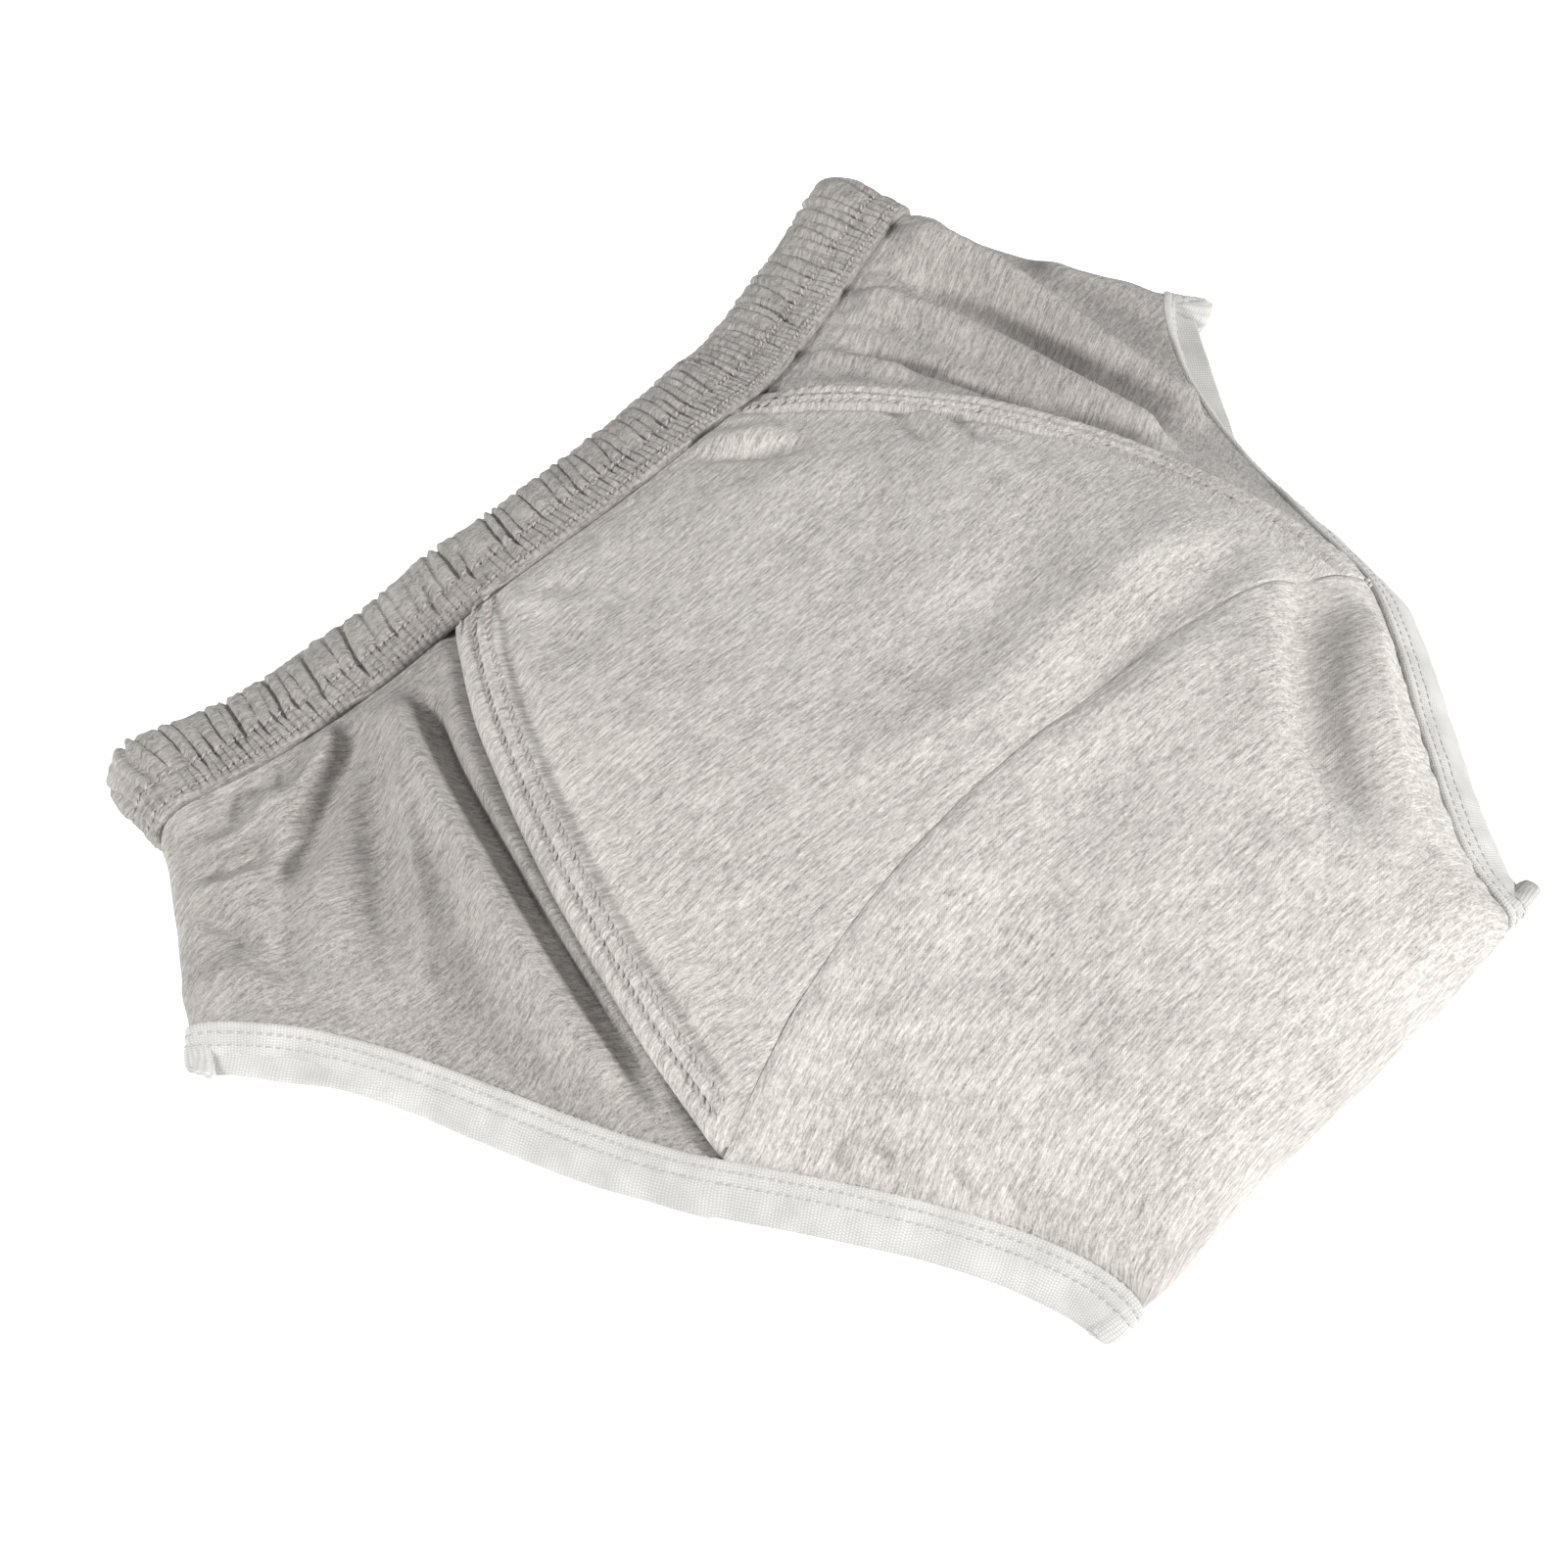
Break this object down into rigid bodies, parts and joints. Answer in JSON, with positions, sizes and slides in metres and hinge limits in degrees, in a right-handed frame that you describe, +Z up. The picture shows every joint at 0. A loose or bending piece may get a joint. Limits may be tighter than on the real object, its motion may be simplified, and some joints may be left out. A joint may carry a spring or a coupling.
{
  "type": "padded pull-on shorts",
  "caption": "Child's padded pull-on shorts in heather-grey jersey, with a gathered elastic waist and white leg bindings, laid flat front up.",
  "frame": {"origin": "on the surface that the shorts lie on, under the middle of their outline", "axes": "+X along the waistband, to the right as one looks down on the padded front with the waist at the top; +Y from the crotch to the waist; +Z up, out of the padded front. Left and right in the names are as one looks down in that way"},
  "size_m": [0.3198, 0.2642, 0.0597],
  "materials": {
    "jersey": "heather-grey cotton single jersey, matt, with a fine knit and darker streaks",
    "waistband": "the same heather-grey jersey, gathered over elastic",
    "binding": "off-white fine rib knit",
    "pad": "soft quilted cotton wadding",
    "lining": "plain cotton jersey, undyed",
    "elastic": "woven white elastic tape",
    "grey_thread": "spun polyester sewing thread, matched to the jersey",
    "white_thread": "spun polyester sewing thread, off-white"
  },
  "bodies": {
    "root": {"front_outer_panel": "jersey", "seat_outer_panel": "jersey", "left_side_panel": "jersey", "right_side_panel": "jersey", "front_pad_core": "pad", "seat_pad_core": "pad", "front_lining": "lining", "seat_lining": "lining", "waistband_casing": "waistband", "waistband_elastic": "elastic", "waistband_stitch_lower": "grey_thread", "waistband_stitch_upper": "grey_thread", "left_leg_binding": "binding", "right_leg_binding": "binding", "left_leg_stitch_upper": "white_thread", "left_leg_stitch_lower": "white_thread", "right_leg_stitch_upper": "white_thread", "right_leg_stitch_lower": "white_thread", "left_front_seam_stitching": "grey_thread", "right_front_seam_stitching": "grey_thread", "left_back_seam_stitching": "grey_thread", "right_back_seam_stitching": "grey_thread", "crotch_seam_thread": "grey_thread"}
  },
  "joints": []
}
